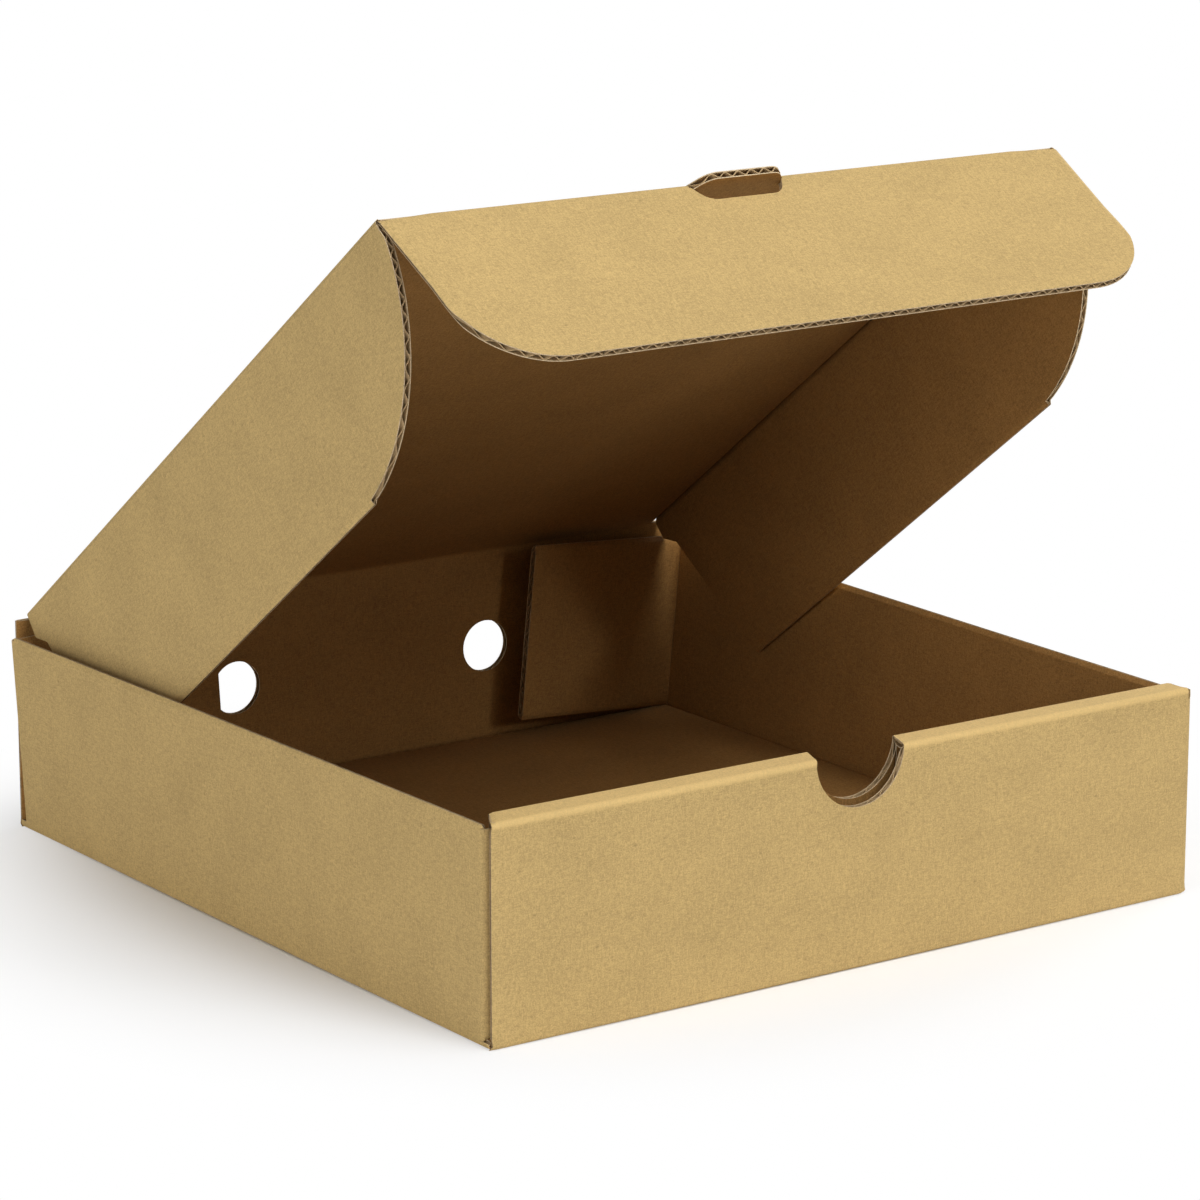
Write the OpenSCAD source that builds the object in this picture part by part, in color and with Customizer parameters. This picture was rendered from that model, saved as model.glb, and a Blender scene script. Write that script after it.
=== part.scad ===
// Small pizza box die-cut from one sheet of E-flute corrugated board, standing with its lid half open.
// Units are millimetres, Z is up, and the front is towards -Y.
// The origin is the middle of the base, on the surface that the box stands on.

/* [Board] */
// Thickness of the corrugated board
board_t = 1.6; // [1.2:0.1:2]
// Distance from one flute to the next
flute_pitch = 3.3; // [3:0.1:4]
// Thickness of the liner on each face
liner_t = 0.22; // [0.15:0.01:0.3]
// Thickness of the wavy paper between the liners
medium_t = 0.2; // [0.15:0.01:0.3]

/* [Tray] */
// Width over the side walls
tray_w = 178; // [140:1:260]
// Depth over the front and back walls
tray_d = 189; // [150:1:270]
// Height of the side walls
side_h = 44.4; // [36:0.2:60]
// How much higher the front wall stands than the side walls
front_rise = 0.9; // [0.4:0.1:2]
// Depth of the double front wall over both layers
front_depth = 6.4; // [6:0.1:9]
// How much higher the closed lid's top lies than the front wall
lid_rise = 3.1; // [2.4:0.1:5]

/* [Front wall] */
// Radius of the half-round thumb notch
notch_r = 11.2; // [8:0.2:16]
// Width of each lock tab at the foot of the rolled-in layer
lock_w = 18; // [12:1:30]
// Distance of each lock tab from the middle
lock_x = 46; // [35:1:60]

/* [Back wall] */
// Diameter of each steam vent
vent_d = 12.7; // [8:0.1:18]
// Distance of each steam vent from the middle
vent_x = 34.3; // [20:0.1:45]
// Height of the vents' centres
vent_z = 24.3; // [15:0.1:35]

/* [Corner flaps] */
// Length of the flaps that fold in at the side walls' ends
corner_len = 46; // [30:1:60]
// Swing of the rear left flap away from the back wall
left_swing = 1.5; // [0:0.5:20]
// Swing of the rear right flap away from the back wall
right_swing = 8.5; // [0:0.5:20]

/* [Lid] */
// How far the lid is open
lid_angle = 36.6; // [10:0.1:120]
// Distance of the lid's sides from the tray's outer faces
lid_inset = 3; // [2.4:0.1:6]
// Width of the lock tab that stays in the lid's plane, at the fold
tab_w = 23; // [14:1:30]
// Reach of the lock tab past the lid's front fold
tab_reach = 5; // [4:0.1:9]
// How much each side of the lock tab draws in over each millimetre of its reach
tab_taper = 0.5; // [0:0.05:0.7]
// Radius of the lock tab's outer corners
tab_r = 1.6; // [1:0.1:3]

/* [Lid flaps] */
// Turn of the tuck flap down from the lid's plane
tuck_angle = 67.5; // [30:0.5:90]
// Radius of the tuck flap's outer corners
tuck_r = 19; // [8:0.5:30]
// Radius of the side flaps' round front edges
curve_r = 41.9; // [25:0.1:42]
// Length of the flat run between the curve's foot and the die-cut nick
nick_run = 6; // [3:0.5:10]
// Setback of the side flaps' rear edges at the fold
rear_set = 4; // [3:0.5:8]
// Setback of the side flaps' rear edges at the foot
rear_foot = 16.5; // [10:0.5:30]

/* [Fit] */
// Gap at each fold between a panel and the flap that turns on it
fold_gap = 0.3; // [0.2:0.05:0.5]
// Gap between layers of board that lie side by side
layer_gap = 0.4; // [0.3:0.05:1]
// Gap between the closed lid's flaps and the tray's floor
floor_gap = 2.4; // [1:0.1:5]
// Gap between the closed tuck flap and the front wall's inner layer
tuck_gap = 1.3; // [0.5:0.1:4]
// Gap round a die-cut tab in its slot
cut_gap = 0.3; // [0.2:0.05:0.6]

/* [Hidden] */
// A piece to draw by itself, or all of them
// Facets of the round shapes
$fn = 64;
// Overrun of the cuts past the faces that they open
over = 1;
// Heights of the front wall, of the closed lid's top and of the lid's fold line
front_h = side_h + front_rise;
closed_h = front_h + lid_rise;
hinge_z = closed_h - board_t / 2;
// Places of the tray's outer faces and of the lid's fold line
side_x = tray_w / 2;
back_y = tray_d / 2;
hinge_y = back_y - board_t / 2;
// Foot and top of the corner flaps, and the fold lines of the rear and front ones
corner_trim = board_t / 2;
corner_z = board_t + corner_trim;
corner_h = side_h - corner_trim - corner_z;
corner_fold_x = side_x - board_t;
rear_fold_y = back_y - board_t - layer_gap - board_t;
front_fold_y = -back_y + board_t + fold_gap + board_t;
// Half width of the rolled-in layer, clear of the side walls
roll_x = corner_fold_x - 2 * layer_gap;
// Width of the lid, and the distance between its two fold lines
lid_w = tray_w - 2 * lid_inset;
lid_len = hinge_y - (front_depth + tuck_gap + board_t / 2 - back_y);
// Where a panel starts from the fold line that it turns on
fold_start = board_t / 2 + fold_gap;
// Half width and length of the tuck flap, which goes down between the side flaps
tuck_x = lid_w / 2 - board_t - layer_gap;
tuck_len = hinge_z - board_t - floor_gap;
// Depth of the side flaps below the lid's top, and the centre of their round front edges
flap_depth = closed_h - board_t - floor_gap;
nick_step = flap_depth / 75;
curve_a = lid_len + board_t / 2 - curve_r;
curve_b = flap_depth - nick_step - curve_r;
// Relief at the side flaps' top front corners, which clears the tuck flap
relief_a = lid_len - board_t / 2 - fold_gap;
relief_h = 4 * board_t;
// Depth of the open flute ends behind a cut edge, and the height between the liners
mouth = 1.5 * board_t;
flute_h = board_t - 2 * liner_t;

// The colours of the outer liner on each piece
kraft = [0.78, 0.66, 0.43];
kraft_lid = [0.8, 0.69, 0.45];

// Section of one open flute end: wide at one liner and narrow at the other
module flute_end() {
    wide = flute_pitch / 2 - 1.5 * medium_t;
    narrow = medium_t;
    top = flute_h / 2;
    polygon([[-wide, top], [wide, top], [narrow, medium_t - top], [-narrow, medium_t - top]]);
}

// A run of open flute ends of the given depth, which point along +Y from y = 0 and lie along X
// The edge's place is a function of the distance along it, so that curved edges are followed too
module flute_mouths(from, to, edge) {
    count = floor((to - from) / flute_pitch);
    start = (from + to - (count - 1) * flute_pitch) / 2;
    for (i = [0 : count - 1]) {
        at = start + i * flute_pitch;
        translate([at, edge(at) + over, 0])
            rotate([90, 0, 0])
                linear_extrude(mouth + over)
                    flute_end();
        if (i < count - 1)
            translate([at + flute_pitch / 2, edge(at + flute_pitch / 2) + over, 0])
                rotate([90, 0, 0])
                    linear_extrude(mouth + over)
                        mirror([0, 1])
                            flute_end();
    }
}

// Quarter round of the outer liner at a square fold, in the quadrant of +x and +y
// Its tails run back into the panels that it joins, along -y and along -x
module fold_round(tail_y = over, tail_x = over) {
    intersection() {
        circle(r = board_t);
        square(board_t);
    }
    if (tail_y > 0)
        translate([0, -tail_y])
            square([board_t, tail_y]);
    if (tail_x > 0)
        translate([-tail_x, 0])
            square([tail_x, board_t]);
}

// Section across the floor and the two side walls
module side_section() {
    translate([-corner_fold_x, 0])
        square([2 * corner_fold_x, board_t]);
    for (s = [0, 1])
        mirror([s, 0]) {
            translate([corner_fold_x, board_t])
                mirror([0, 1])
                    fold_round();
            translate([corner_fold_x, board_t])
                square([board_t, side_h - board_t]);
        }
}

// Section of the front wall, which goes up, over and down again to the floor; x here is depth from the front
module front_section() {
    inner = front_depth - board_t;
    translate([board_t, board_t])
        rotate(180)
            fold_round();
    translate([0, board_t])
        square([board_t, front_h - 2 * board_t]);
    translate([board_t, front_h - board_t])
        mirror([1, 0])
            fold_round();
    translate([board_t, front_h - board_t])
        square([inner - board_t, board_t]);
    translate([inner, front_h - board_t])
        fold_round();
    translate([inner, board_t + layer_gap])
        square([board_t, front_h - 2 * board_t - layer_gap]);
}

// Section of the back wall, which ends in the round of the lid's fold; x here is depth from the back
module back_section() {
    translate([board_t, board_t])
        rotate(180)
            fold_round();
    translate([0, board_t])
        square([board_t, hinge_z - board_t]);
    translate([board_t / 2, hinge_z])
        circle(d = board_t);
}

// A section in depth and height drawn along X, over the given half width
module along_x(half) {
    translate([-half, 0, 0])
        rotate([90, 0, 90])
            linear_extrude(2 * half)
                children();
}

// Outline of a corner flap from its fold line: its free corners are rounded
module corner_outline(start) {
    r = board_t / 2;
    translate([start, 0])
        square([corner_len - r - start, corner_h]);
    translate([start, r])
        square([corner_len - start, corner_h - 2 * r]);
    for (z = [r, corner_h - r])
        translate([corner_len - r, z])
            circle(r = r);
}

// A corner flap lying along +X from its fold line at the origin, with its back face at y = board_t
module corner_flap(start) {
    difference() {
        translate([0, board_t, corner_z])
            rotate([90, 0, 0])
                linear_extrude(board_t)
                    corner_outline(start);
        translate([0, board_t / 2, corner_z])
            rotate([90, 0, 0])
                rotate([0, 0, -90])
                    flute_mouths(2 * board_t - corner_h, -2 * board_t, function(z) corner_len);
    }
}

// A front corner flap with the round of its fold, held between the two layers of the front wall
module front_corner() {
    translate([-corner_fold_x, front_fold_y, 0])
        mirror([0, 1, 0]) {
            corner_flap(0);
            translate([0, 0, corner_z])
                linear_extrude(corner_h)
                    mirror([1, 0])
                        fold_round();
        }
}

// A rear corner's round, on the end of the side wall
module rear_corner_round() {
    translate([-corner_fold_x, rear_fold_y, corner_z])
        linear_extrude(corner_h)
            mirror([1, 0])
                fold_round(tail_x = 0);
}

// Floor and side walls, with the fold to the front and back walls
module floor_and_sides() {
    translate([0, rear_fold_y, 0])
        rotate([90, 0, 0])
            linear_extrude(rear_fold_y - front_fold_y)
                side_section();
    translate([-side_x, board_t - back_y, 0])
        cube([tray_w, tray_d - 2 * board_t, board_t]);
}

// The half-round thumb notch through both layers of the front wall, and the flutes that it opens
module notch() {
    translate([0, -back_y - over, front_h])
        rotate([-90, 0, 0])
            cylinder(r = notch_r, h = front_depth + 2 * over);
    for (depth = [board_t / 2, front_depth - board_t / 2])
        translate([0, depth - back_y, front_h])
            rotate([90, 0, 0])
                flute_mouths(-0.8 * notch_r, 0.8 * notch_r,
                    function(x) -sqrt(notch_r * notch_r - x * x));
}

// The lock slots in the floor and the tabs that stand in them
module lock(s, gap) {
    translate([s * lock_x - lock_w / 2 - gap, front_depth - board_t - gap - back_y, -over * sign(gap)])
        cube([lock_w + 2 * gap, board_t + 2 * gap, board_t + layer_gap + over * sign(gap)]);
}

module tray() {
    color(kraft) {
        difference() {
            union() {
                difference() {
                    floor_and_sides();
                    for (s = [-1, 1])
                        lock(s, cut_gap);
                }
                intersection() {
                    translate([0, -back_y, 0])
                        along_x(side_x)
                            front_section();
                    union() {
                        translate([-roll_x, -back_y, 0])
                            cube([2 * roll_x, front_depth, front_h]);
                        translate([-side_x, -back_y, 0])
                            cube([tray_w, board_t, front_h]);
                    }
                }
                for (s = [-1, 1])
                    lock(s, 0);
                translate([0, back_y, 0])
                    mirror([0, 1, 0])
                        along_x(side_x)
                            back_section();
                for (s = [0, 1])
                    mirror([s, 0, 0]) {
                        front_corner();
                        rear_corner_round();
                    }
            }
            notch();
            for (s = [-1, 1])
                translate([s * vent_x, back_y - board_t - over, vent_z])
                    rotate([-90, 0, 0])
                        cylinder(d = vent_d, h = board_t + 2 * over);
        }
    }
}

// The lid's own frame: its rear fold line is at the origin, it reaches along -Y and its top faces +Z
module on_lid() {
    translate([0, hinge_y, hinge_z])
        rotate([-lid_angle, 0, 0])
            children();
}

// Outline of the lock tab past the fold line, grown by a gap for the hole that it leaves
module tab_outline(gap) {
    lean = sqrt(1 + tab_taper * tab_taper);
    r = tab_r + gap;
    end = tab_reach + gap;
    foot = tab_w / 2 + gap * lean;
    round_x = foot - tab_taper * (end - r) - r * lean;
    touch_x = round_x + r / lean;
    touch_y = end - r + r * tab_taper / lean;
    polygon([[-foot, 0], [foot, 0], [touch_x, touch_y], [round_x, end],
        [-round_x, end], [-touch_x, touch_y]]);
    for (s = [-1, 1])
        translate([s * round_x, end - r])
            circle(r = r);
}

module lid() {
    flat_x = lid_w / 2 - board_t;
    tip_x = tab_w / 2 - tab_taper * tab_reach - tab_r / 2;
    color(kraft_lid)
        on_lid()
            difference() {
                union() {
                    translate([-flat_x, -lid_len, -board_t / 2])
                        cube([2 * flat_x, lid_len - fold_start, board_t]);
                    translate([-flat_x, -lid_len, 0])
                        rotate([0, 90, 0])
                            cylinder(d = board_t, h = 2 * flat_x);
                    for (s = [0, 1])
                        mirror([s, 0, 0])
                            translate([flat_x, -fold_start, -board_t / 2])
                                rotate([90, 0, 0])
                                    linear_extrude(lid_len - fold_start)
                                        fold_round(tail_y = 0);
                    translate([0, -lid_len, -board_t / 2])
                        mirror([0, 1, 0])
                            linear_extrude(board_t)
                                tab_outline(0);
                }
                translate([0, -lid_len, 0])
                    mirror([0, 1, 0])
                        flute_mouths(-tip_x, tip_x, function(x) tab_reach);
            }
}

// Place of the tuck flap's free edge, which falls away round its corners
function tuck_edge(x) =
    let (past = max(0, abs(x) - tuck_x + tuck_r))
    tuck_len - tuck_r + sqrt(tuck_r * tuck_r - past * past);

module tuck_outline() {
    translate([-tuck_x, fold_start])
        square([2 * tuck_x, tuck_len - tuck_r - fold_start]);
    translate([tuck_r - tuck_x, fold_start])
        square([2 * tuck_x - 2 * tuck_r, tuck_len - fold_start]);
    for (s = [-1, 1])
        translate([s * (tuck_x - tuck_r), tuck_len - tuck_r])
            circle(r = tuck_r);
}

module tuck_flap() {
    color(kraft_lid)
        on_lid()
            translate([0, -lid_len, 0])
                rotate([tuck_angle, 0, 0])
                    mirror([0, 1, 0])
                        difference() {
                            translate([0, 0, -board_t / 2])
                                linear_extrude(board_t)
                                    difference() {
                                        tuck_outline();
                                        tab_outline(cut_gap);
                                    }
                            flute_mouths(tuck_r / 8 - tuck_x, tuck_x - tuck_r / 8,
                                function(x) tuck_edge(x));
                        }
}

// Outline of a lid side flap: x runs along the lid from its rear fold, y down from the lid's top
module side_outline() {
    top = board_t + fold_gap;
    nick_a = curve_a + nick_run;
    difference() {
        union() {
            translate([rear_set, top])
                square([nick_a - rear_set, flap_depth - top]);
            intersection() {
                translate([curve_a, curve_b])
                    circle(r = curve_r, $fn = 128);
                translate([curve_a, top])
                    square([curve_r + over, flap_depth - top]);
            }
        }
        polygon([[rear_set - over, top - over], [rear_set, top],
            [rear_foot, flap_depth], [rear_foot, flap_depth + over], [rear_set - over, flap_depth + over]]);
        polygon([[relief_a, top - over], [relief_a, top], [curve_a + curve_r, top + relief_h],
            [curve_a + curve_r + over, top + relief_h], [curve_a + curve_r + over, top - over]]);
    }
}

// Place of a side flap's round front edge at a depth below the lid's top
function curve_edge(b) = curve_a + sqrt(curve_r * curve_r - (b - curve_b) * (b - curve_b));

// The left flap, square to the lid; its outer face is the lid's side
module side_flap() {
    on_lid()
        translate([-lid_w / 2, 0, board_t / 2])
            rotate([-90, 0, 0])
                rotate([0, 90, 0])
                    difference() {
                        linear_extrude(board_t)
                            side_outline();
                        translate([0, 0, board_t / 2])
                            rotate([0, 0, -90])
                                flute_mouths(-0.9 * flap_depth, -board_t - fold_gap,
                                    function(b) curve_edge(-b));
                    }
}

module left_side_flap() {
    color(kraft)
        side_flap();
}

module right_side_flap() {
    color(kraft)
        mirror([1, 0, 0])
            side_flap();
}

module rear_left_corner_flap() {
    color(kraft)
        translate([-corner_fold_x, rear_fold_y, 0])
            rotate([0, 0, -left_swing])
                corner_flap(fold_gap);
}

module rear_right_corner_flap() {
    color(kraft)
        mirror([1, 0, 0])
            translate([-corner_fold_x, rear_fold_y, 0])
                rotate([0, 0, -right_swing])
                    corner_flap(fold_gap);
}

tray();
lid();
tuck_flap();
left_side_flap();
right_side_flap();
rear_left_corner_flap();
rear_right_corner_flap();
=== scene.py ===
"""A small pizza box of brown corrugated board, standing with its lid half open.

The box is die-cut from one sheet, creased and folded up without glue, so each panel is laid out
flat here, as on the sheet, and then folded. Sizes are in millimetres until a panel is in its place.
"""

import math

import bmesh
import bpy
from mathutils import Matrix, Vector


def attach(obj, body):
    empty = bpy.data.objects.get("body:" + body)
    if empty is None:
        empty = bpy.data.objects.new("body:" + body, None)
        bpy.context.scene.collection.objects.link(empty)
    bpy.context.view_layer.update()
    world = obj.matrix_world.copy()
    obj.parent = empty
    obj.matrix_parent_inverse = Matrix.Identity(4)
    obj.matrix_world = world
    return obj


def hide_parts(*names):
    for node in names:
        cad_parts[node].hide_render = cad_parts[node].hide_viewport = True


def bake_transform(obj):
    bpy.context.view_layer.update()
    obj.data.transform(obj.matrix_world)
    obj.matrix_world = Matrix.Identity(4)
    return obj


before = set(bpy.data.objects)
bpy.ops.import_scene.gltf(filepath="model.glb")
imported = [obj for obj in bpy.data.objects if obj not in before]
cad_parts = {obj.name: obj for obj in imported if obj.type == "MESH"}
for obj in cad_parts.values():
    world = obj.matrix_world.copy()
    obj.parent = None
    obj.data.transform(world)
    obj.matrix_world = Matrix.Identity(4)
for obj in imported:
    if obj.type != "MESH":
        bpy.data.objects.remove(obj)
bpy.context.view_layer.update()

# The camera stands in front of the box's left corner, a little above the lid's lowest edge.
# It looks along the line that was solved from the box's own corners.
camera = bpy.data.objects.new("camera", bpy.data.cameras.new("camera"))
bpy.context.scene.collection.objects.link(camera)
bpy.context.scene.camera = camera
camera.data.sensor_width = 36
camera.data.lens = 140.55
camera_side, camera_height = math.radians(35.24), math.radians(13.59)
camera.location = (-0.5646, -0.8038, 0.2957)
sight = Vector(
    (
        math.sin(camera_side) * math.cos(camera_height),
        math.cos(camera_side) * math.cos(camera_height),
        -math.sin(camera_height),
    )
)
camera.rotation_euler = sight.to_track_quat("-Z", "Y").to_euler()

# Tray: the floor, the side walls, the back wall and the front wall that rolls over itself.
# It is E-flute board: two kraft liners with a wavy paper glued between them.
# The front wall folds up, over and down again, and its two lock tabs stand in slots in the floor.
MM, SHEET_MID, NEAR = 0.001, 0.3, 0.01
BOARD, LINER, MEDIUM = 1.6, 0.22, 0.2
PITCH, PINCH, PINCHED = 3.3, 1.1, 0.35
ROUND, CRUSH, SWELL, SWELL_CURVE = 0.9, 0.45, 1.4, 0.6
QUARTER = math.pi / 2
BEND = ROUND * QUARTER
HALF_W, HALF_D = 89.0, 94.5
SIDE_H, FRONT_H = 44.4, 45.3
ROLL_DEPTH, ROLL_X, ROLL_SHIFT, ROLL_RISE, ROLL_GAP, ROLL_WORN = 6.4, 87.1, 1.3, 0.45, 0.4, 2.2
HINGE_Y, HINGE_Z, HINGE_RUN = 93.7, 47.6, 1.0
EAR_TOP, LID_X = 47.4, 84.35
NOTCH_R, NOTCH_X, FRONT_AT = 11.2, 11.1, 0.5
VENT_X, VENT_Z, VENT_R, VENT_AT = 34.3, 23.8, 6.2, 1.2
LOCK_X, LOCK_W, SLOT, MID_ROW = 46.0, 18.0, 0.3, 30.0
CORNER_LEN, CORNER_LOW, CORNER_TOP, CORNER_R = 46.0, 1.25, 43.6, 0.8


class Tone:
    """A value in a material, which takes part in sums as a number does."""

    def __init__(self, tree, socket=None):
        self.tree, self.socket = tree, socket

    def node(self, kind, settings=None, links=None, out=0):
        made = self.tree.nodes.new("ShaderNode" + kind)
        for name, value in (settings or {}).items():
            setattr(made, name, value)
        for name, value in (links or {}).items():
            if isinstance(value, Tone):
                self.tree.links.new(value.socket, made.inputs[name])
            else:
                made.inputs[name].default_value = value
        return Tone(self.tree, made.outputs[out])

    def maths(self, operation, first, second):
        return self.node("Math", {"operation": operation}, {0: first, 1: second})

    def __add__(self, other):
        return self.maths("ADD", self, other)

    def __radd__(self, other):
        return self.maths("ADD", other, self)

    def __sub__(self, other):
        return self.maths("SUBTRACT", self, other)

    def __rsub__(self, other):
        return self.maths("SUBTRACT", other, self)

    def __mul__(self, other):
        return self.maths("MULTIPLY", self, other)

    def __rmul__(self, other):
        return self.maths("MULTIPLY", other, self)

    def __gt__(self, other):
        return self.maths("GREATER_THAN", self, other)

    def between(self, low, high):
        """0 below low, 1 above high and a smooth climb between them."""
        return self.node(
            "MapRange",
            {"interpolation_type": "SMOOTHSTEP"},
            {"Value": self, "From Min": low, "From Max": high},
        )

    def mix(self, first, second):
        """One colour turning into another as this value goes from 0 to 1."""
        return self.node("Mix", {"data_type": "RGBA"}, {0: self, 6: first, 7: second}, out=2)


roll_1 = FRONT_H - ROUND
roll_2 = roll_1 + BEND
roll_3 = roll_2 + ROLL_DEPTH - 2 * ROUND
roll_4 = roll_3 + BEND


def paper(name, plain, swing, washboard, wear_and_painted_light=0.0):
    """Kraft paper: cloudy pulp, matted fibres, a few darker shives and the ghost of the flutes.

    Painted light: the up-facing rolled-over strip is painted paler, its crease a painted highlight.
    """
    material = bpy.data.materials.new(name)
    material.use_nodes = True
    tree = material.node_tree
    tree.nodes.clear()
    start = Tone(tree)
    sheet = start.node("UVMap", {"uv_map": "sheet"})

    def laid(scale, turn=0.0):
        return start.node(
            "Mapping",
            links={"Vector": sheet, "Scale": scale, "Rotation": (0, 0, turn)},
        )

    def pulp(scale, detail, turn=0.0, curl=0.0):
        return start.node(
            "TexNoise",
            {"noise_dimensions": "2D"},
            {
                "Vector": laid(scale, turn),
                "Scale": 1.0,
                "Detail": detail,
                "Roughness": 0.6,
                "Distortion": curl,
            },
        )

    def shade(share):
        return tuple(c * share for c in plain[:3]) + (1,)

    cloud = pulp((50, 70, 1), 3.0)
    grain = pulp((3200, 3500, 1), 2.0)
    fibre = pulp((700, 2300, 1), 2.0, 0.5, 0.6)
    cross = pulp((2100, 640, 1), 2.0, 0.9, 0.6)
    tone = cloud * 0.16 + grain * 0.5 + fibre * 0.32 + cross * 0.32
    body = tone.between(0.38, 0.92).mix(shade(1 - swing), shade(1 + swing))
    shive_at = laid((150, 240, 1), 0.6)
    flat, cells_at = {"voronoi_dimensions": "2D"}, {"Vector": shive_at, "Scale": 1.0}
    shive = start.node("TexVoronoi", flat, cells_at)
    cell = start.node("TexVoronoi", flat, cells_at, out=1)
    chosen = start.node("TexWhiteNoise", {"noise_dimensions": "3D"}, {"Vector": cell})
    spots = (1 - shive.between(0.02, 0.075)) * (chosen > 0.8)
    body = (spots * 0.4).mix(body, shade(0.45))
    # Painted light: the up-facing rolled-over strip is lightened, and its outer crease more, as a
    # highlight.
    if wear_and_painted_light:
        at = start.node("SeparateXYZ", links={0: sheet}, out=1) * (1 / MM)
        strip = at.between(roll_1, roll_2) * (1 - at.between(roll_4 - 0.2, roll_4 + 0.6))
        crease = strip * at.between(roll_3 - 0.6, roll_3 + 0.2)
        body = (strip * wear_and_painted_light + crease * wear_and_painted_light).mix(body, shade(1.5))
    shader = start.node(
        "BsdfPrincipled",
        links={
            "Base Color": body,
            "Roughness": 0.95 - 0.2 * grain,
            "Specular IOR Level": 0.25,
        },
    )
    across = start.node("SeparateXYZ", links={0: sheet}, out=0)
    turns = across * (2 * math.pi / (PITCH * MM))
    flutes = start.node("Math", {"operation": "COSINE"}, {0: turns})
    height = flutes * washboard + grain * 0.02 + fibre * 0.015 + cross * 0.015
    bump = start.node("Bump", links={"Height": height, "Distance": MM, "Strength": 1.0})
    tree.links.new(bump.socket, shader.socket.node.inputs["Normal"])
    end = tree.nodes.new("ShaderNodeOutputMaterial")
    tree.links.new(shader.socket, end.inputs["Surface"])
    return material


PAPERS = [
    # The outer liner's last value is its share of painted light on the rolled-over strip and its
    # crease.
    paper("outer_liner", (0.505, 0.352, 0.142, 1), 0.25, 0.006, 0.24),
    paper("inner_liner", (0.315, 0.163, 0.046, 1), 0.34, 0.006),
    paper("cut_edge", (0.58, 0.45, 0.28, 1), 0.25, 0.0),
    paper("fluting", (0.42, 0.29, 0.15, 1), 0.25, 0.0),
]
OUTER, INNER, EDGE, FLUTING = range(4)


def pressed(gap):
    """The board's share of its height at a distance from a square crease."""
    return CRUSH + (1 - CRUSH) * min(1.0, max(0.0, gap) / SWELL) ** SWELL_CURVE


def folded(start, heading, steps):
    """The way that a sheet takes in section: straight runs, and left turns about the inner side.

    Each step is a length along the outer face and the angle turned over it. The answer gives the
    place of a point at a distance along the sheet and a height above its outer face. The board is
    pressed thin in its square creases and swells to its full height beside them.
    """
    spans = []
    p, q = start
    at = 0.0
    for length, turn in steps:
        spans.append((at, length, turn, p, q, heading))
        if turn:
            bend = length / turn
            p += bend * (math.sin(heading + turn) - math.sin(heading))
            q -= bend * (math.cos(heading + turn) - math.cos(heading))
        else:
            p += length * math.cos(heading)
            q += length * math.sin(heading)
        heading += turn
        at += length

    def place(along, height):
        span = [s for s in spans if s[0] <= along + 1e-9][-1:] or spans[:1]
        at, length, turn, p, q, way = span[0]
        for start, run, bent, *_ in spans:
            if bent and run < ROUND * bent + 1e-6:
                height *= pressed(max(start - along, along - start - run))
        gone = along - at
        if turn:
            bend = length / turn
            new = way + turn * gone / length
            p += bend * (math.sin(new) - math.sin(way))
            q -= bend * (math.cos(new) - math.cos(way))
            way = new
        else:
            p += gone * math.cos(way)
            q += gone * math.sin(way)
        return p - height * math.sin(way), q + height * math.cos(way)

    return place


def steps_over(low, high, count):
    return [low + (high - low) * i / count for i in range(count + 1)]


def round_steps(low, high, count):
    """Steps that close up towards both ends, for an edge that is round there."""
    half = (high - low) / 2
    return [low + half * (1 - math.cos(math.pi * i / count)) for i in range(count + 1)]


def beside(*creases):
    """Rows through the given creases, and close to them where the board swells again."""
    rows = []
    for low, high in creases:
        rows += [low - SWELL * k for k in (1.0, 0.5, 0.2)]
        rows += steps_over(low, high, 6)
        rows += [high + SWELL * k for k in (0.2, 0.5, 1.0)]
    return rows


def lay_flat(bm, panels, rows, height):
    """Lays panels side by side on the flat sheet and joins them where their edges meet.

    A panel is its columns across the flutes, and where each column starts and ends along them.
    """
    for columns, low, high in panels:
        inside = [
            r
            for r in rows
            if max(map(low, columns)) + 1e-6 < r < min(map(high, columns)) - 1e-6
        ]
        lines = [low, *[(lambda x, r=r: r) for r in inside], high]
        grid = bmesh.ops.create_grid(
            bm, x_segments=len(columns) - 1, y_segments=len(lines) - 1, size=1
        )
        for v in grid["verts"]:
            x = columns[round((v.co.x + 1) / 2 * (len(columns) - 1))]
            line = lines[round((v.co.y + 1) / 2 * (len(lines) - 1))]
            v.co = (x, line(x), height(x))
    bmesh.ops.remove_doubles(bm, verts=bm.verts[:], dist=0.002)


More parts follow.
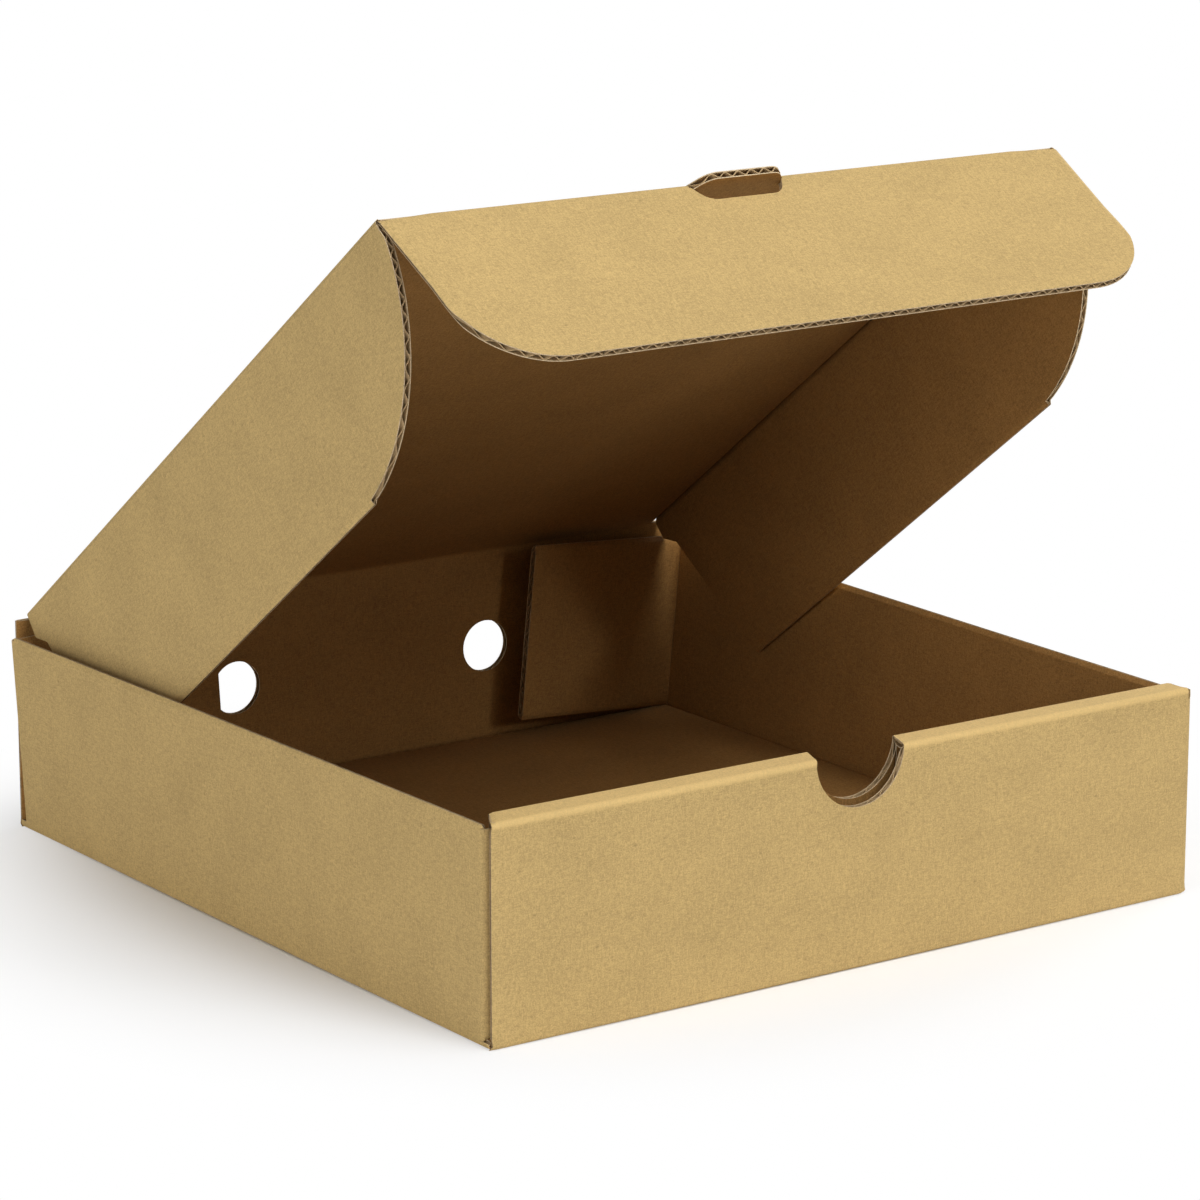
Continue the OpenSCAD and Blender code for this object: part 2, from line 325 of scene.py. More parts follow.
def corrugated(name, layers, place, sheet_at, side_gap=None):
    """Makes an object of board layers that were laid out flat, and folds it into place.

    Where a cut runs along the flutes the blade presses the liners together, so the board is thin
    there; side_gap is a point's distance from such a cut.
    """
    board = bmesh.new()
    for kind, panels, rows in layers:
        bm = bmesh.new()
        if kind == FLUTING:
            swing = (BOARD - 2 * LINER - MEDIUM) / 2
            lay_flat(
                bm,
                panels,
                rows,
                lambda x: (BOARD + MEDIUM) / 2
                + swing * math.cos(2 * math.pi * sheet_at(x, 0)[0] / PITCH),
            )
            bmesh.ops.solidify(bm, geom=bm.faces[:], thickness=MEDIUM)
        else:
            top = LINER if kind == OUTER else BOARD
            lay_flat(bm, panels, rows, lambda x: top)
            bmesh.ops.solidify(bm, geom=bm.faces[:], thickness=LINER)
        bm.normal_update()
        uv = bm.loops.layers.uv.new("sheet")
        shown = -1 if kind == OUTER else 1
        for face in bm.faces:
            if kind == FLUTING:
                face.material_index = FLUTING
            elif abs(face.normal.z) < 0.5:
                face.material_index = EDGE
            else:
                face.material_index = kind if face.normal.z * shown > 0 else FLUTING
            for loop in face.loops:
                flat_x, flat_y = sheet_at(loop.vert.co.x, loop.vert.co.y)
                loop[uv].uv = (flat_x * MM + SHEET_MID, flat_y * MM)
        for v in bm.verts:
            if side_gap:
                gap = max(0.0, side_gap(v.co.x, v.co.y))
                press = min(1.0, PINCHED + (1 - PINCHED) * gap / PINCH)
                v.co.z = BOARD / 2 + (v.co.z - BOARD / 2) * press
            v.co = place(*v.co) * MM
        bmesh.ops.recalc_face_normals(bm, faces=bm.faces[:])
        mesh = bpy.data.meshes.new(name)
        bm.to_mesh(mesh)
        bm.free()
        board.from_mesh(mesh)
        bpy.data.meshes.remove(mesh)
    mesh = bpy.data.meshes.new(name)
    board.to_mesh(mesh)
    board.free()
    for material in PAPERS:
        mesh.materials.append(material)
    mesh.shade_smooth()
    mesh.set_sharp_from_angle(angle=math.radians(38))
    piece = bpy.data.objects.new(name, mesh)
    bpy.context.scene.collection.objects.link(piece)
    return piece


def flute_columns(columns):
    """The given columns, and twelve to each flute between them."""
    fine = PITCH / 12
    first, last = math.ceil(columns[0] / fine), math.floor(columns[-1] / fine)
    return sorted({round(c, 6) for c in [*columns, *[i * fine for i in range(first, last + 1)]]})


def flute_panels(panels, runs):
    """The wavy paper of the given panels, where they lie flat: it is crushed in the creases."""
    found = []
    for columns, low, high in panels:
        for first, last in runs:

            def begin(x, low=low, first=first, last=last):
                return min(max(low(x), first), last)

            def finish(x, high=high, first=first, last=last):
                return max(min(high(x), last), first)

            fine = flute_columns(columns)
            if all(finish(x) - begin(x) > 0.2 for x in fine):
                found.append((fine, begin, finish))
    return found


def level(value):
    return lambda x: value


front_foot = roll_4 + FRONT_H - 2 * ROUND
floor_start = front_foot + BEND
floor_end = floor_start + 2 * (HALF_D - ROUND)
back_start = floor_end + BEND
back_end = back_start + HINGE_Z - HINGE_RUN - ROUND
ear_end = back_start + EAR_TOP - ROUND
slot_front = floor_start + ROLL_DEPTH - BOARD - SLOT - ROUND
slot_back = floor_start + ROLL_DEPTH + SLOT - ROUND
vent_mid = back_start + VENT_Z - ROUND
roll_foot = BOARD + ROLL_GAP


def notch_z(x):
    return FRONT_H - math.sqrt(max(0.0, NOTCH_R**2 - x * x))


def inner_notch(x):
    return min(notch_z(x), roll_1)


def outer_notch(x):
    return roll_4 + max(0.0, roll_1 - notch_z(x))


def roll_taper(x):
    """Where the strip's end is cut, between the front wall's width and the rolled-in layer's."""
    # Here it is the wear alone: the strip's cut corner is worn round.
    wear_and_painted_light = ROLL_WORN * max(0.0, (x - edge_x) / ROUND) ** 2
    return roll_2 + (roll_3 - roll_2) * (abs(x) - ROLL_X) / (HALF_W - ROLL_X) + wear_and_painted_light


def vent_drop(x):
    return math.sqrt(max(0.0, VENT_R**2 - (abs(x) - VENT_X) ** 2))


def under_vent(x):
    return vent_mid - vent_drop(x)


def over_vent(x):
    return vent_mid + vent_drop(x)


lock_in, lock_out = LOCK_X - LOCK_W / 2, LOCK_X + LOCK_W / 2
vent_in, vent_out = VENT_X - VENT_R, VENT_X + VENT_R
edge_x = HALF_W - ROUND
across = sorted(
    {
        0.0,
        *[NOTCH_X * math.sin(QUARTER * i / 14) for i in range(15)],
        *round_steps(vent_in, vent_out, 20),
        *[lock_in - SLOT, lock_in, lock_out, lock_out + SLOT],
        *steps_over(NOTCH_X, vent_in, 2),
        *steps_over(lock_out + SLOT, LID_X, 4),
        LID_X,
        ROLL_X - PINCH,
        ROLL_X - PINCH / 2,
        ROLL_X,
        *steps_over(edge_x, HALF_W, 4),
    }
)
bands = [
    (0.0, NOTCH_X, level(roll_foot), inner_notch),
    (0.0, NOTCH_X, outer_notch, level(back_end)),
    (NOTCH_X, vent_in, level(roll_foot), level(back_end)),
    (vent_in, lock_in - SLOT, level(roll_foot), under_vent),
    (vent_in, vent_out, over_vent, level(back_end)),
    (lock_in - SLOT, lock_in, level(roll_foot), level(slot_front)),
    (lock_in, lock_out, level(0.0), level(slot_front)),
    (lock_out, lock_out + SLOT, level(roll_foot), level(slot_front)),
    (lock_in - SLOT, vent_out, level(slot_back), under_vent),
    (vent_out, lock_out + SLOT, level(slot_back), level(back_end)),
    (lock_out + SLOT, LID_X, level(roll_foot), level(back_end)),
    (LID_X, ROLL_X, level(roll_foot), level(ear_end)),
    (ROLL_X, edge_x, roll_taper, level(ear_end)),
    (edge_x, HALF_W, roll_taper, level(floor_start)),
    (edge_x, HALF_W, level(floor_end), level(ear_end)),
]
tray_panels = []
for first, last, low, high in bands:
    columns = [x for x in across if first - 1e-6 <= x <= last + 1e-6]
    tray_panels.append((columns, low, high))
    tray_panels.append(([-x for x in reversed(columns)], low, high))
tray_rows = sorted(
    {
        roll_foot,
        MID_ROW,
        *beside(
            (roll_1, roll_2),
            (roll_3, roll_4),
            (front_foot, floor_start),
            (floor_end, back_start),
        ),
        roll_4 + roll_1 - MID_ROW,
        slot_front,
        slot_back,
        *steps_over(slot_back + 20, floor_end - 20, 3),
        vent_mid,
        back_end,
    }
)
tray_runs = [
    (0.0, roll_1),
    (roll_2, roll_3),
    (roll_4, front_foot),
    (floor_start, floor_end),
    (back_start, ear_end),
]
tray_way = folded(
    (ROLL_DEPTH - HALF_D, 0.0),
    QUARTER,
    [
        (roll_1, 0),
        (BEND, QUARTER),
        (roll_3 - roll_2, 0),
        (BEND, QUARTER),
        (front_foot - roll_4, 0),
        (BEND, QUARTER),
        (floor_end - floor_start, 0),
        (BEND, QUARTER),
        (back_end - back_start, 0),
    ],
)


def in_tray(x, along, height):
    """The place of a point of the tray, with the slack of this one box.

    The front wall was rolled up a little askew, so it sits to the right, its inner layer most of
    all, and the inner layer stands a little higher than the outer one.
    """
    y, z = tray_way(along, height)
    rolled = min(1.0, max(0.0, (roll_4 - along) / (roll_4 - roll_1)))
    rolled *= min(1.0, max(0.0, (along - roll_foot) / (roll_1 - roll_foot)))
    z += ROLL_RISE * (1 - 0.5 * x / HALF_W) * rolled
    x += ROLL_SHIFT * rolled
    if along < floor_start:
        x += FRONT_AT * min(1.0, (floor_start - along) / BEND)
        x += ROLL_SHIFT * max(0.0, 1 - abs(x) / VENT_X) * rolled
    elif along > floor_end:
        x += VENT_AT * min(1.0, max(0.0, (LID_X - abs(x)) / VENT_X))
    return Vector((x, y, z))


def tray_side_gap(x, along):
    if floor_start - NEAR < along < floor_end + NEAR:
        return PINCH
    gone = min(1.0, max(0.0, (along - roll_2) / (roll_3 - roll_2)))
    return ROLL_X + (HALF_W - ROLL_X) * gone - abs(x)


tray = corrugated(
    "tray",
    [
        (OUTER, tray_panels, tray_rows),
        (INNER, tray_panels, tray_rows),
        (FLUTING, flute_panels(tray_panels, tray_runs), tray_rows),
    ],
    in_tray,
    lambda x, along: (x, along),
    tray_side_gap,
)
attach(tray, "tray")
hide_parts("tray")

# Side walls with their front corner flaps, which are held between the front wall's two layers.
# They belong to the same sheet as the floor, and turn up at its sides.
CORNER_ROUND, REAR_LOW, FRONT_GAP, REAR_GAP = 1.6, 1.8, 0.9, 0.4
TOP_FROM, TOP_RUN = 0.33, 0.5
CORNER_BEND = CORNER_ROUND * QUARTER
flap_run = CORNER_LEN + BOARD - CORNER_ROUND
wall_start = flap_run + CORNER_BEND
front_fold_y = -HALF_D + 2 * BOARD + FRONT_GAP
REAR_FOLD_Y = HALF_D - 2 * BOARD - REAR_GAP
HAIR, SLIT, FLUTE_BACK = 0.05, 0.02, 0.3
LEAN, LEAN_CURVE = {-1: math.radians(3.3), 1: math.radians(6.0)}, 1.3
wall_from = front_fold_y - BOARD + CORNER_ROUND
wall_end = wall_start + REAR_FOLD_Y - HAIR - wall_from
wall_way = folded((edge_x, 0.0), 0.0, [(BEND, QUARTER), (SIDE_H - ROUND, 0)])
flap_way = folded(
    (front_fold_y - BOARD, BOARD + CORNER_LEN),
    -QUARTER,
    [(flap_run, 0), (CORNER_BEND, QUARTER), (wall_end - wall_start, 0)],
)
flap_low = BEND + CORNER_LOW - ROUND
flap_high = BEND + CORNER_TOP - ROUND
wall_top = BEND + SIDE_H - ROUND


def leaned(point, side, y):
    """The walls' rear ends stand out a little, because only their front ends are held."""
    gone = min(1.0, max(0.0, (y + HALF_D) / (2 * HALF_D)))
    lean = -side * LEAN[side] * gone**LEAN_CURVE
    foot = Vector((side * edge_x, 0, 0))
    return foot + Matrix.Rotation(-lean, 3, "Y") @ (point - foot)


def corner_cut(gap):
    """How far a flap's rounded corner is cut back at a distance from its side."""
    return CORNER_R - math.sqrt(max(0.0, CORNER_R**2 - max(0.0, CORNER_R - gap) ** 2))


def flap_across(low, high):
    """A corner flap's columns, close together at its two sides."""
    return [
        *round_steps(low, low + 2 * CORNER_R, 12)[:7],
        low + PINCH,
        *steps_over(low + CORNER_R + 2, high - CORNER_R - 2, 3),
        high - PINCH,
        *round_steps(high - 2 * CORNER_R, high, 12)[6:],
    ]


def wall_side_gap(u, along):
    if along < flap_run + CORNER_BEND / 3 and u > flap_low - NEAR:
        return min(u - flap_low, flap_high - u)
    return wall_top - u


def wall_top_front(u):
    """Where the wall's top edge starts beside the flap: it is cut round into the front fold."""
    gone = (u - flap_high) / (wall_top - flap_high)
    return flap_run + CORNER_BEND * (TOP_FROM + TOP_RUN * gone)


foot_columns = [u for u in beside((0.0, BEND))[3:] if u < flap_low - HAIR]
foot_run = wall_from + HALF_D - ROUND
foot_end = HALF_D - ROUND - REAR_FOLD_Y + HAIR
wall_panels = [
    ([*foot_columns, flap_low - SLIT], level(wall_start - foot_run), level(wall_start)),
    ([*foot_columns, flap_low], level(wall_start), level(wall_end)),
    (
        [*foot_columns, BEND + REAR_LOW - ROUND - SLIT],
        level(wall_end),
        level(wall_end + foot_end),
    ),
    (
        flap_across(flap_low, flap_high),
        lambda u: corner_cut(min(u - flap_low, flap_high - u)),
        level(wall_end),
    ),
    (
        [flap_high, wall_top - PINCH / 2, wall_top - PINCH / 4, wall_top],
        wall_top_front,
        level(wall_end),
    ),
]
wall_rows = sorted(
    {
        CORNER_R + 0.1,
        *beside((flap_run, wall_start)),
        *steps_over(wall_start + 50, wall_end - 50, 2),
    }
)
standing = [
    ([BEND, flap_low], level(wall_start), level(wall_end)),
    (flap_across(flap_low + FLUTE_BACK, flap_high), *wall_panels[3][1:]),
    wall_panels[4],
]
wall_runs = [(0.0, flap_run), (wall_start, wall_end)]
floor_shift = floor_start + wall_from + HALF_D - ROUND - wall_start

for side, which in ((-1, "left"), (1, "right")):

    def in_wall(u, along, height, side=side):
        y, inward = flap_way(along, height)
        if u < flap_low - NEAR and wall_start - foot_run - HAIR < along < wall_start:
            y, inward = wall_from + along - wall_start, height
        x, z = wall_way(u, inward)
        return leaned(Vector((side * x, y, z)), side, y)

    wall = corrugated(
        which + "_wall",
        [
            (OUTER, wall_panels, wall_rows),
            (INNER, wall_panels, wall_rows),
            (FLUTING, flute_panels(standing, wall_runs), wall_rows),
        ],
        in_wall,
        lambda u, along, side=side: (side * (edge_x + u), along + floor_shift),
        wall_side_gap,
    )
    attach(wall, "tray")

# Rear corner flaps: the side walls' rear ends, folded in loosely in front of the back wall.
# Each one turns on a crease of the outer liner, which runs on round the corner.
SWINGS = {"left": math.radians(1.5), "right": math.radians(8.5)}
REACHES = {"left": 49.2, "right": 48.6}
FLAP_TOP, CREASE_Z = 43.8, 23.0
corner_columns = flap_across(REAR_LOW, FLAP_TOP)
corner_shift = wall_end + floor_shift + (BOARD + HAIR) * QUARTER - HAIR

for side, which in ((-1, "left"), (1, "right")):
    swing = SWINGS[which]
    turn = QUARTER + swing
    crease_r = BOARD + HAIR / math.tan(turn / 2)

    def in_corner(z, along, height, side=side, swing=swing):
        inward = height - BOARD
        x = HALF_W - BOARD - along * math.cos(swing) + inward * math.sin(swing)
        y = REAR_FOLD_Y - along * math.sin(swing) - inward * math.cos(swing)
        return leaned(Vector((side * x, y, z)), side, REAR_FOLD_Y)

    def corner_end(z, reach=REACHES[which]):
        return reach - corner_cut(min(z - REAR_LOW, FLAP_TOP - z))

    corner_panels = [(corner_columns, level(HAIR), corner_end)]
    corner = corrugated(
        f"rear_{which}_corner_flap",
        [
            (OUTER, corner_panels, []),
            (INNER, corner_panels, []),
            (FLUTING, flute_panels(corner_panels, [(FLUTE_BACK, REACHES[which])]), []),
        ],
        in_corner,
        lambda z, along, side=side: (side * (edge_x + BEND + z - ROUND), along + corner_shift),
        lambda z, along: min(z - REAR_LOW, FLAP_TOP - z),
    )
    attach(corner, f"rear_{which}_corner_flap")
    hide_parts(f"rear_{which}_corner_flap")

    crease_way = folded((HALF_W, REAR_FOLD_Y - HAIR), QUARTER, [(crease_r * turn, turn)])

    def in_crease(z, along, height, side=side, crease_way=crease_way):
        x, y = crease_way(along, height)
        return leaned(Vector((side * x, y, z)), side, REAR_FOLD_Y)

    crease = corrugated(
        f"rear_{which}_corner_crease",
        [
            (
                OUTER,
                [([REAR_LOW, 15.0, 30.0, FLAP_TOP], level(0.0), level(crease_r * turn))],
                steps_over(0.0, crease_r * turn, 9)[1:-1],
            )
        ],
        in_crease,
        lambda z, along, side=side: (
            side * (edge_x + BEND + z - ROUND),
            along + wall_end + floor_shift,
        ),
    )
    in_crease(CREASE_Z, 0.0, LINER / 2) * MM
    in_crease(CREASE_Z, crease_r * turn, LINER / 2) * MM
    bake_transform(crease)

# Lid: one flat panel on the back wall's top crease, held half open by the board's own stiffness.
# A lock tab is cut out of the front flap and stays in the lid's plane when the flap is folded.
LID_OPEN, LID_LEN, LID_HALF = math.radians(36.6), 179.7, 86.0
LID_SLACK, LID_DRAW, LID_DRIFT = 0.35, 0.65, 0.95
TUCK_RUN = 0.6
TAB_X, TAB_REACH, TAB_TAPER, TAB_R = 11.5, 4.8, 0.5, 4.0
lid_turn = QUARTER - LID_OPEN
lid_bend = (HINGE_RUN / math.tan(lid_turn / 2) + BOARD / 2) * lid_turn
lid_shift = back_end + lid_bend - HINGE_RUN
lid_frame = Matrix.Translation((0, HINGE_Y, HINGE_Z)) @ Matrix.Rotation(-LID_OPEN, 4, "X")
lid_front = LID_LEN - TUCK_RUN
lid_edge = LID_HALF - ROUND


def on_lid(x, along, depth):
    """The place of a point at a distance along the lid and a depth below its middle plane.

    The lid hangs a little askew, and draws in towards its front.
    """
    gone = min(1.0, along / LID_LEN)
    half = LID_HALF + LID_SLACK - LID_DRAW * gone
    askew_x = x * half / LID_HALF + LID_DRIFT * gone - LID_SLACK
    return lid_frame @ Vector((askew_x, -along, -depth))


def in_lid(x, along, height):
    return on_lid(x, along, height * pressed(lid_edge - abs(x)) - BOARD / 2)


def tab_shape(foot, reach, r):
    """A tab's outline: its sides lean in towards its end, and its corners are round."""
    lean = math.hypot(1, TAB_TAPER)
    mid = foot - TAB_TAPER * (reach - r) - r * lean
    touch = mid + r / lean

    def end(x):
        if abs(x) > touch:
            return max(0.0, foot - abs(x)) / TAB_TAPER
        return reach - r + math.sqrt(max(0.0, r * r - max(0.0, abs(x) - mid) ** 2))

    half = [*steps_over(0.0, mid, 3), *steps_over(mid, touch, 6), *steps_over(touch, foot, 4)]
    return end, sorted({round(side * x, 6) for x in half for side in (-1, 1)})


tab_end, tab_columns = tab_shape(TAB_X, TAB_REACH, TAB_R)
lid_columns = [
    *steps_over(TAB_X, lid_edge - 10, 5),
    *[lid_edge - SWELL * k for k in (1.0, 0.5, 0.2)],
    lid_edge,
]
lid_panels = [
    ([-x for x in reversed(lid_columns)], level(HINGE_RUN), level(lid_front)),
    (tab_columns, level(HINGE_RUN), lambda x: LID_LEN + tab_end(x)),
    (lid_columns, level(HINGE_RUN), level(lid_front)),
]
lid_rows = [*steps_over(HINGE_RUN + 20, lid_front - 20, 4), lid_front]
lid = corrugated(
    "lid",
    [
        (OUTER, lid_panels, lid_rows),
        (INNER, lid_panels, lid_rows),
        (FLUTING, flute_panels(lid_panels, [(HINGE_RUN, LID_LEN + TAB_REACH)]), []),
    ],
    in_lid,
    lambda x, along: (x, along + lid_shift),
)
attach(lid, "lid")
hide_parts("lid")

hinge_way = folded((HALF_D, HINGE_Z - HINGE_RUN), QUARTER, [(lid_bend, lid_turn)])


def in_hinge(x, along, height):
    y, z = hinge_way(along, height)
    return Vector((x, y, z))


for kind, name, middle in (
    (OUTER, "lid_crease_outer", LINER / 2),
    (INNER, "lid_crease_inner", BOARD - LINER / 2),
):
    crease = corrugated(
        name,
        [
            (
                kind,
                [(steps_over(-LID_X, LID_X, 8), level(0.0), level(lid_bend))],
                steps_over(0.0, lid_bend, 9)[1:-1],
            )
        ],
        in_hinge,
        lambda x, along: (x, along + back_end),
    )
    in_hinge(0.0, 0.0, middle) * MM
    in_hinge(0.0, lid_bend, middle) * MM
    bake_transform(crease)

# Lid side flaps: folded square to the lid, they go down inside the side walls.
# Their front edges are cut round, with a small nick where the die's blades meet.
# The right one stands out a little further than the left one.
FLAP_DEPTH = 44.4
SPLAY = {"left": 0.0, "right": math.radians(3.6)}
CURVE_R, CURVE_A, CURVE_B = 41.9, 138.6, 1.908
NICK_A = CURVE_A + 6.0
REAR_EDGE = [(0.0, 1.5), (6.4, 1.9), (9.4, 6.0), (FLAP_DEPTH, 16.5)]
RELIEF_A, RELIEF_B, RELIEF_H = 179.4, 1.9, 3.0
flap_start = ROUND + HAIR
nick_b = CURVE_B + math.sqrt(CURVE_R**2 - (NICK_A - CURVE_A) ** 2)


def rear_edge(b):
    for (b_0, a_0), (b_1, a_1) in zip(REAR_EDGE, REAR_EDGE[1:]):
        if b <= b_1 + 1e-6:
            return a_0 + (a_1 - a_0) * (b - b_0) / (b_1 - b_0)


def round_edge(b):
    curve = CURVE_A + math.sqrt(CURVE_R**2 - (b - CURVE_B) ** 2)
    relief = RELIEF_A + (CURVE_A + CURVE_R - RELIEF_A) * max(0.0, b - RELIEF_B) / RELIEF_H
    return min(curve, relief)


nick_turn = math.acos((NICK_A - CURVE_A) / CURVE_R)
side_rows, side_crease_rows, SIDE_MID = [60.0, 100.0], [45.0, 90.0, 135.0], 90.0
side_panels = [
    (
        [
            flap_start,
            *[ROUND + SWELL * k for k in (0.2, 0.5, 0.9)],
            *[2.6, 4.4, 6.4, 7.4, 8.4, 9.4],
            *[CURVE_B + CURVE_R * math.sin(nick_turn * i / 40) for i in range(7, 41)],
        ],
        rear_edge,
        round_edge,
    ),
    ([nick_b, FLAP_DEPTH - PINCH / 3, FLAP_DEPTH], rear_edge, level(NICK_A)),
]
for side, which in ((-1, "left"), (1, "right")):
    turn = QUARTER - SPLAY[which]
    bend = ROUND * turn
    side_way = folded((lid_edge, -BOARD / 2), 0.0, [(bend, turn), (FLAP_DEPTH - ROUND, 0)])

    def in_side_crease(u, along, height, side=side, side_way=side_way):
        x, depth = side_way(u, height)
        return on_lid(side * x, along, depth)

    def in_side_flap(b, along, height, bend=bend, on_crease=in_side_crease):
        return on_crease(bend + b - ROUND, along, height)

    flap = corrugated(
        f"{which}_side_flap",
        [
            (OUTER, side_panels, side_rows),
            (INNER, side_panels, side_rows),
            (FLUTING, flute_panels(side_panels, [(0.0, CURVE_A + CURVE_R)]), []),
        ],
        in_side_flap,
        lambda b, along, side=side: (
            side * (lid_edge + BEND + b - ROUND),
            along + lid_shift,
        ),
        lambda b, along: FLAP_DEPTH - b,
    )
    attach(flap, f"{which}_side_flap")
    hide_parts(f"{which}_side_flap")

    crease_panels = [(steps_over(0.0, bend, 9), level(REAR_EDGE[0][1]), level(RELIEF_A))]
    crease = corrugated(
        f"{which}_side_crease",
        [
            (OUTER, crease_panels, side_crease_rows),
            (INNER, crease_panels, side_crease_rows),
        ],
        in_side_crease,
        lambda u, along, side=side: (side * (lid_edge + u), along + lid_shift),
    )
    in_side_crease(0.0, SIDE_MID, LINER / 2) * MM
    in_side_crease(bend, SIDE_MID, LINER / 2) * MM
    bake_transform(crease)

# Tuck flap: the lid's front flap, with large round corners, which goes down behind the front wall.
# The hole that the lock tab leaves is cut out of its fold.
TUCK_X, TUCK_LEN, TUCK_R, TUCK_DRAW, DRAW_RUN = 85.6, 43.6, 19.0, 0.014, 20.0
TUCK_DEGREES, TUCK_TWIST, HOLE_SIDE, HOLE_END = 67.5, 1.0, 0.3, 0.1
hole_end, hole_columns = tab_shape(TAB_X + HOLE_SIDE, TAB_REACH + HOLE_END, TAB_R)
tuck_flat_turn = math.radians(TUCK_DEGREES)
tuck_bend = (TUCK_RUN / math.tan(tuck_flat_turn / 2) + BOARD / 2) * tuck_flat_turn
tuck_shift = lid_front + lid_shift + tuck_bend - TUCK_RUN


def tuck_turn(x):
    """The flap is warped: its left end is folded further down than its right end."""
    return math.radians(TUCK_DEGREES - TUCK_TWIST * x / TUCK_X)


def tuck_edge(x):
    past = max(0.0, abs(x) - TUCK_X + TUCK_R)
    return TUCK_LEN - TUCK_R + math.sqrt(max(0.0, TUCK_R**2 - past**2))


corner_steps = [TUCK_X - TUCK_R + TUCK_R * math.sin(QUARTER * i / 24) for i in range(25)]
right_columns = sorted(
    {
        *steps_over(hole_columns[-1], TUCK_X - TUCK_R, 3),
        *corner_steps,
        TUCK_X - PINCH,
        TUCK_X - PINCH / 2,
    }
)
tuck_panels = [
    ([-x for x in reversed(right_columns)], level(TUCK_RUN), tuck_edge),
    (hole_columns, lambda x: max(TUCK_RUN, hole_end(x)), tuck_edge),
    (right_columns, level(TUCK_RUN), tuck_edge),
]


def in_tuck(x, along, height):
    depth = height - BOARD / 2
    turn = tuck_turn(x)
    return on_lid(
        x * (1 - TUCK_DRAW * min(1.0, along / DRAW_RUN)),
        LID_LEN + along * math.cos(turn) - depth * math.sin(turn),
        along * math.sin(turn) + depth * math.cos(turn),
    )


tuck_rows = [5.0, 12.0, DRAW_RUN]
tuck_flap = corrugated(
    "tuck_flap",
    [
        (OUTER, tuck_panels, tuck_rows),
        (INNER, tuck_panels, tuck_rows),
        (FLUTING, flute_panels(tuck_panels, [(TUCK_RUN, TUCK_LEN)]), tuck_rows),
    ],
    in_tuck,
    lambda x, along: (x, along + tuck_shift),
    lambda x, along: TUCK_X - abs(x),
)
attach(tuck_flap, "tuck_flap")
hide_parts("tuck_flap")


def in_tuck_crease(x, along, height):
    turn = tuck_turn(x)
    bend = (TUCK_RUN / math.tan(turn / 2) + BOARD / 2) * turn
    way = folded((lid_front, -BOARD / 2), 0.0, [(bend, turn)])
    gone = along / tuck_bend
    return on_lid(x * (1 - TUCK_DRAW * TUCK_RUN / DRAW_RUN * gone), *way(bend * gone, height))


for kind, name, middle in (
    (OUTER, "tuck_crease_outer", LINER / 2),
    (INNER, "tuck_crease_inner", BOARD - LINER / 2),
):
    crease = corrugated(
        name,
        [
            (
                kind,
                [
                    (steps_over(-TUCK_X, -hole_columns[-1], 6), level(0.0), level(tuck_bend)),
                    (steps_over(hole_columns[-1], TUCK_X, 6), level(0.0), level(tuck_bend)),
                ],
                steps_over(0.0, tuck_bend, 9)[1:-1],
            )
        ],
        in_tuck_crease,
        lambda x, along: (x, along + lid_front + lid_shift),
        lambda x, along: TUCK_X - abs(x),
    )
    in_tuck_crease(0.0, 0.0, middle) * MM
    in_tuck_crease(0.0, tuck_bend, middle) * MM
    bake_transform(crease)

# Studio: a white floor to the horizon, with lamps above, in front, to the left and behind.
# Far from the box the floor and the sky are plain white to the camera.
# Near it the floor keeps the shadow.
bm = bmesh.new()
bmesh.ops.create_grid(bm, x_segments=1, y_segments=1, size=6.0)
floor_mesh = bpy.data.meshes.new("floor")
bm.to_mesh(floor_mesh)
bm.free()
floor = bpy.data.objects.new("floor", floor_mesh)
bpy.context.scene.collection.objects.link(floor)
floor_paint = bpy.data.materials.new("floor")
floor_paint.use_nodes = True
floor_mesh.materials.append(floor_paint)


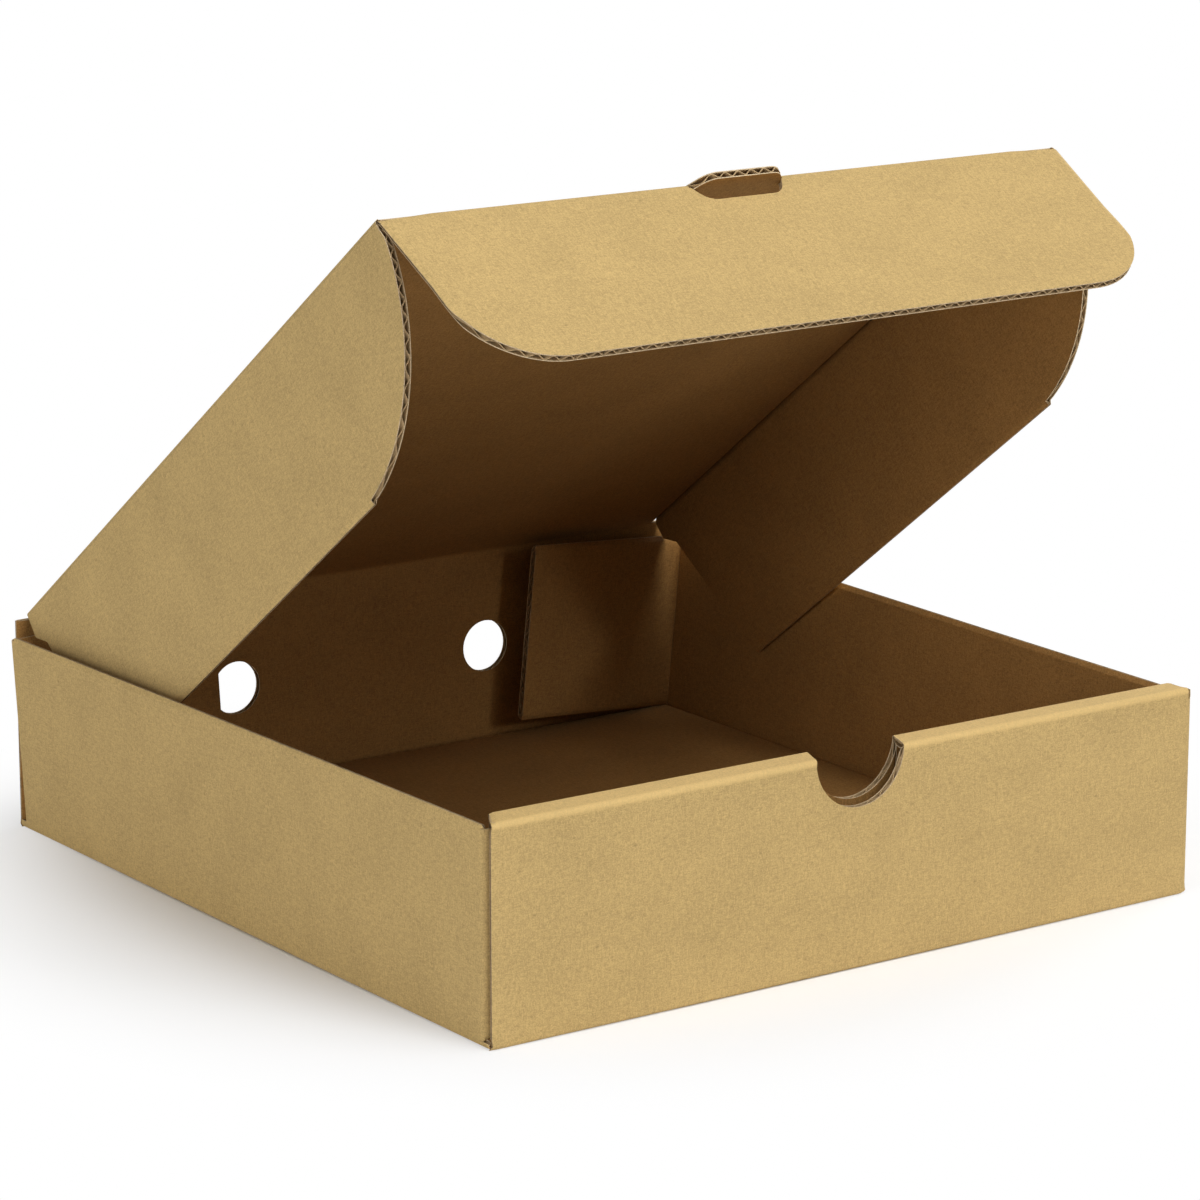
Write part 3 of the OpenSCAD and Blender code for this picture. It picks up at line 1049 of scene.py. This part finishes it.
def seen_directly(start):
    """1 for rays that show a surface to the camera, straight, in a gloss or through glass."""
    rays = [
        start.node("LightPath", out=name)
        for name in ("Is Camera Ray", "Is Glossy Ray", "Is Transmission Ray")
    ]
    return start.maths("MAXIMUM", start.maths("MAXIMUM", rays[0], rays[1]), rays[2])


ground = Tone(floor_paint.node_tree)
floor_paint.node_tree.nodes.clear()
away = ground.node(
    "VectorMath",
    {"operation": "LENGTH"},
    {0: ground.node("TexCoord", out="Object")},
    out="Value",
)
matt = ground.node("BsdfDiffuse", links={"Color": (0.9, 0.9, 0.9, 1)})
white = ground.node("Emission", links={"Color": (1, 1, 1, 1), "Strength": 1.0})
mixed = ground.node(
    "MixShader",
    links={0: away.between(0.085, 0.165) * seen_directly(ground), 1: matt, 2: white},
)
ground_end = floor_paint.node_tree.nodes.new("ShaderNodeOutputMaterial")
floor_paint.node_tree.links.new(mixed.socket, ground_end.inputs["Surface"])

lamp_aim = Vector((0, 0, 0.05))
for name, at, size, power in (
    ("overhead", (0.2, -0.55, 1.5), 1.2, 19.0),
    ("front", (0.3, -1.5, 1.24), 0.5, 6.2),
    ("key", (0.62, -1.53, 0.62), 0.2, 2.9),
    ("left", (-1.7, -0.5, 0.35), 1.0, 13.4),
    ("behind", (1.6, 0.5, 0.45), 0.5, 12.0),
):
    lamp = bpy.data.objects.new(name, bpy.data.lights.new(name, "AREA"))
    lamp.data.size = size
    lamp.data.energy = power
    lamp.location = at
    lamp.rotation_euler = (lamp_aim - Vector(at)).to_track_quat("-Z", "Y").to_euler()
    bpy.context.scene.collection.objects.link(lamp)

world = bpy.data.worlds.new("studio")
bpy.context.scene.world = world
world.use_nodes = True
world.node_tree.nodes.clear()
sky = Tone(world.node_tree)
light = sky.node(
    "Background",
    links={"Color": (1, 1, 1, 1), "Strength": 0.11 + seen_directly(sky) * 0.89},
)
world_end = world.node_tree.nodes.new("ShaderNodeOutputWorld")
world.node_tree.links.new(light.socket, world_end.inputs["Surface"])
bpy.context.scene.view_settings.view_transform = "Standard"
